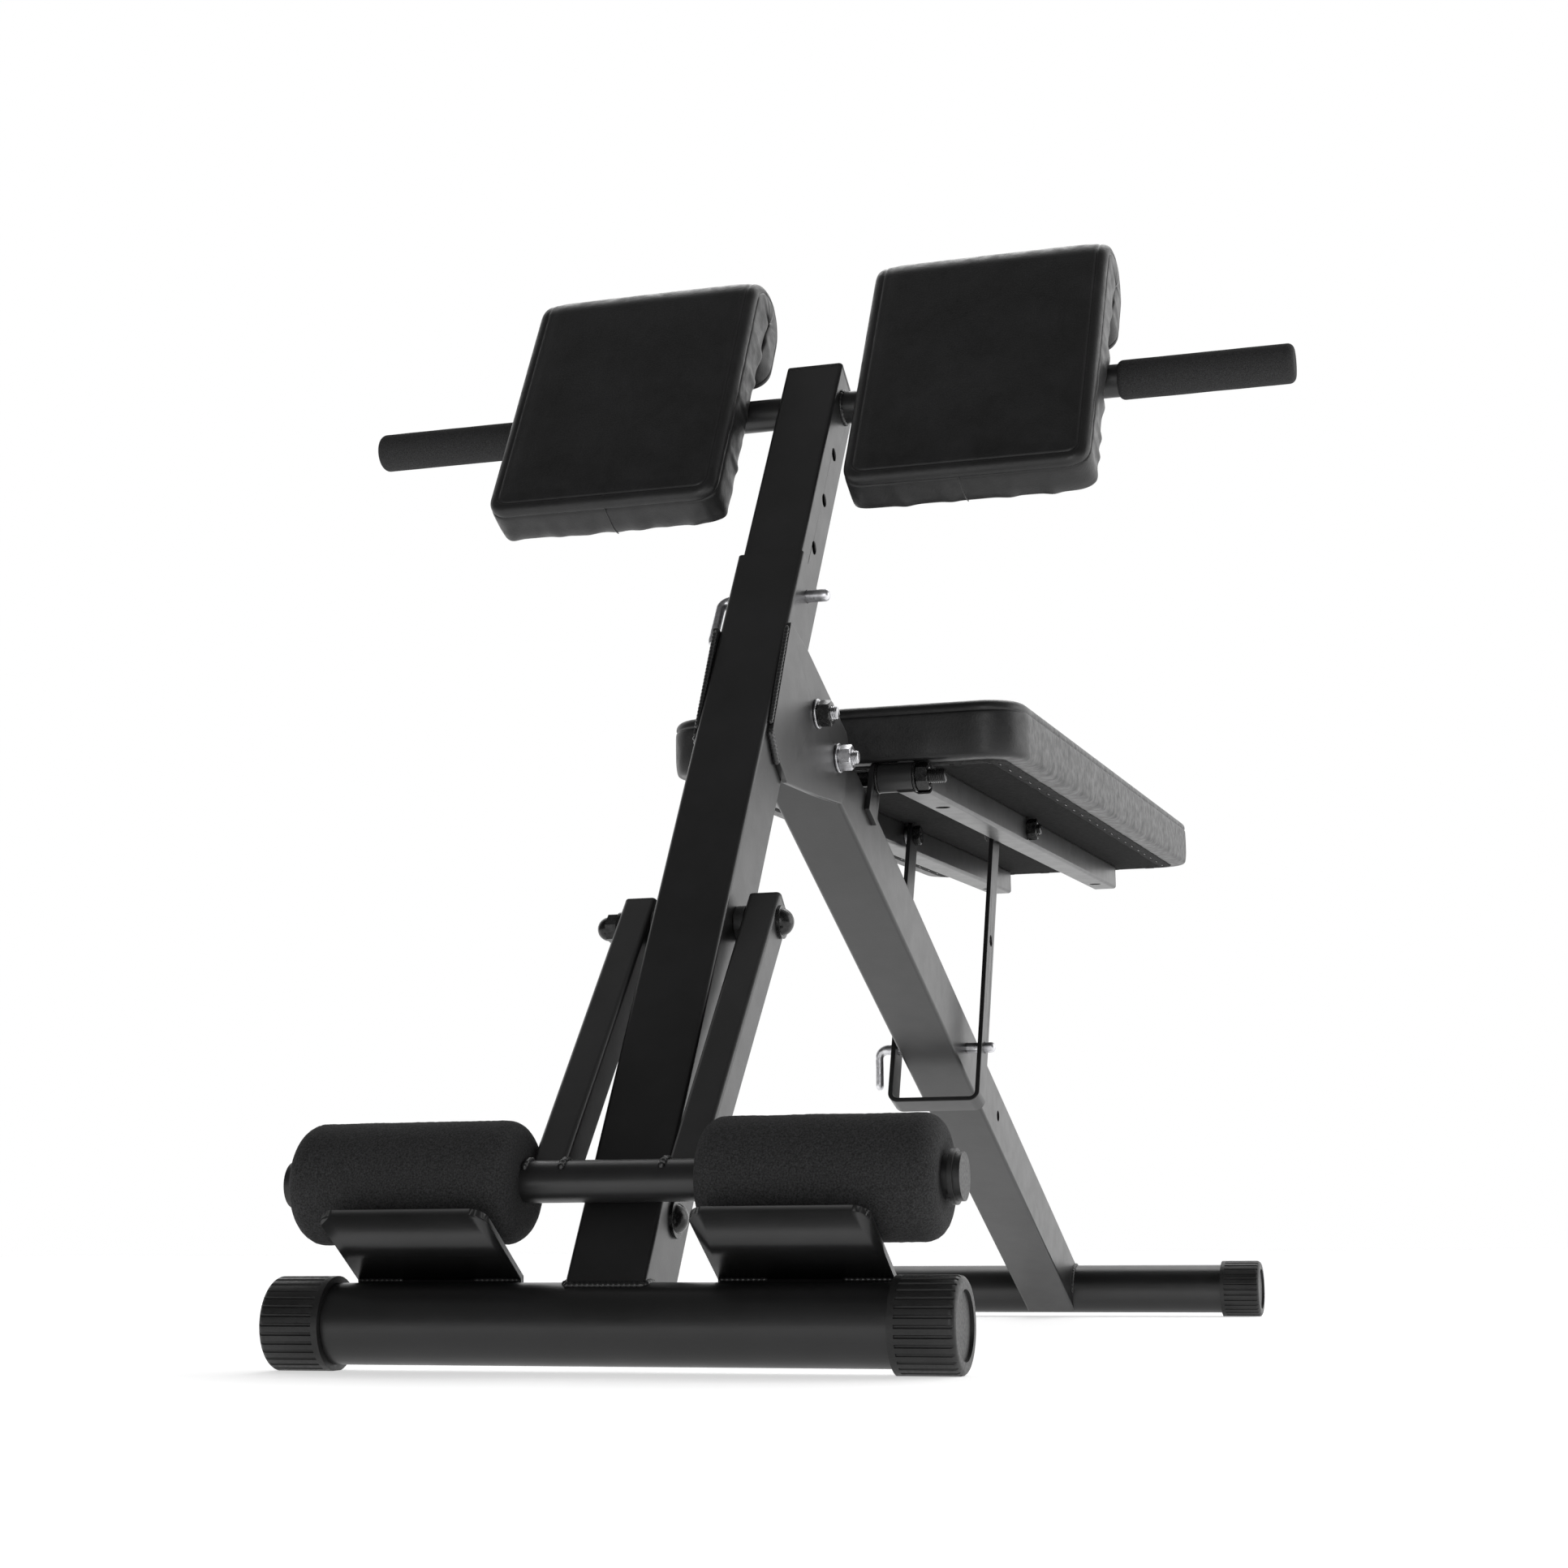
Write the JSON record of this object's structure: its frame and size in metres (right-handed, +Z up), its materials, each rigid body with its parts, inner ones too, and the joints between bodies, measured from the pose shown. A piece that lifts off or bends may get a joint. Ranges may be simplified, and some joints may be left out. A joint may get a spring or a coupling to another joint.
{
  "type": "roman chair",
  "caption": "Free-standing roman chair with split hip pads on a telescoping post, foam ankle rollers on a swinging frame and a padded seat board.",
  "frame": {"origin": "on the floor, at the centre of the outline seen from above", "axes": "+X runs across the chair, +Y runs from the ankle rollers to the free end of the seat board, +Z is up"},
  "size_m": [0.74, 1.4329, 0.8367],
  "materials": {
    "painted_steel": "satin black powder coat",
    "zinc_steel": "bright zinc",
    "leather": "black grained upholstery leather",
    "foam": "matt black closed-cell foam",
    "black_plastic": "satin moulded plastic",
    "plywood": "raw plywood"
  },
  "bodies": {
    "base": {"front_foot_tube": "painted_steel", "front_cap_left": "black_plastic", "front_cap_right": "black_plastic", "foot_plate_left": "painted_steel", "foot_plate_right": "painted_steel", "main_post": "painted_steel", "bracket_plate_left": "painted_steel", "bracket_plate_right": "painted_steel", "leg_bolts": "zinc_steel", "leg_bolt_washers": "zinc_steel", "leg_bolt_nuts": "zinc_steel", "base_bolt": "zinc_steel", "base_bolt_nut": "zinc_steel", "rear_leg": "painted_steel", "rear_foot_tube": "painted_steel", "rear_cap_left": "black_plastic", "rear_cap_right": "black_plastic", "hinge_lug_left": "painted_steel", "hinge_lug_right": "painted_steel", "hinge_rod": "zinc_steel", "hinge_washers": "zinc_steel", "hinge_nuts": "zinc_steel", "hinge_sleeve_left": "painted_steel", "hinge_sleeve_right": "painted_steel", "rail_left": "painted_steel", "rail_right": "painted_steel", "rail_plugs": "black_plastic", "board_base": "plywood", "board_cushion": "leather", "board_screws": "zinc_steel", "support_strap": "painted_steel", "strap_bolts": "zinc_steel", "strap_nuts": "zinc_steel", "strap_spacers": "zinc_steel", "pivot_bolt": "zinc_steel", "pivot_nut": "zinc_steel", "pivot_spacers": "black_plastic"},
    "upper_post": {"inner_post": "painted_steel", "post_top_plug": "black_plastic", "crossbar": "painted_steel", "grip_left": "foam", "grip_right": "foam", "pad_bracket_left": "painted_steel", "pad_bracket_right": "painted_steel", "pad_base_left": "plywood", "pad_base_right": "plywood", "hip_pad_left": "leather", "hip_pad_right": "leather", "pad_screws": "zinc_steel"},
    "post_pin": {"post_pin": "zinc_steel"},
    "roller_frame": {"roller_arm_left": "painted_steel", "roller_arm_right": "painted_steel", "arm_plugs": "black_plastic", "roller_bar": "painted_steel", "bar_plugs": "black_plastic"},
    "roller_left": {"foam_roller_left": "foam"},
    "roller_right": {"foam_roller_right": "foam"},
    "leg_pin": {"leg_pin": "zinc_steel"}
  },
  "joints": [
    {"name": "post_height", "type": "slide", "parent": "base", "child": "upper_post", "axis": [0, 0.5373, 0.8434], "range_m": [-0.156, 0.156]},
    {"name": "post_pin_pull", "type": "slide", "parent": "base", "child": "post_pin", "axis": [-1, 0, 0], "range_m": [0, 0.085]},
    {"name": "roller_swing", "type": "hinge", "parent": "base", "child": "roller_frame", "pos_m": [0, -0.50623, 0.27883], "axis": [1, 0, 0], "range_deg": [-110, 0]},
    {"name": "roller_left_spin", "type": "hinge", "parent": "roller_frame", "child": "roller_left", "pos_m": [0, -0.66134, 0.11], "axis": [1, 0, 0], "continuous": true},
    {"name": "roller_right_spin", "type": "hinge", "parent": "roller_frame", "child": "roller_right", "pos_m": [0, -0.66134, 0.11], "axis": [1, 0, 0], "continuous": true},
    {"name": "leg_pin_pull", "type": "slide", "parent": "base", "child": "leg_pin", "axis": [-1, 0, 0], "range_m": [0, 0.1]}
  ]
}
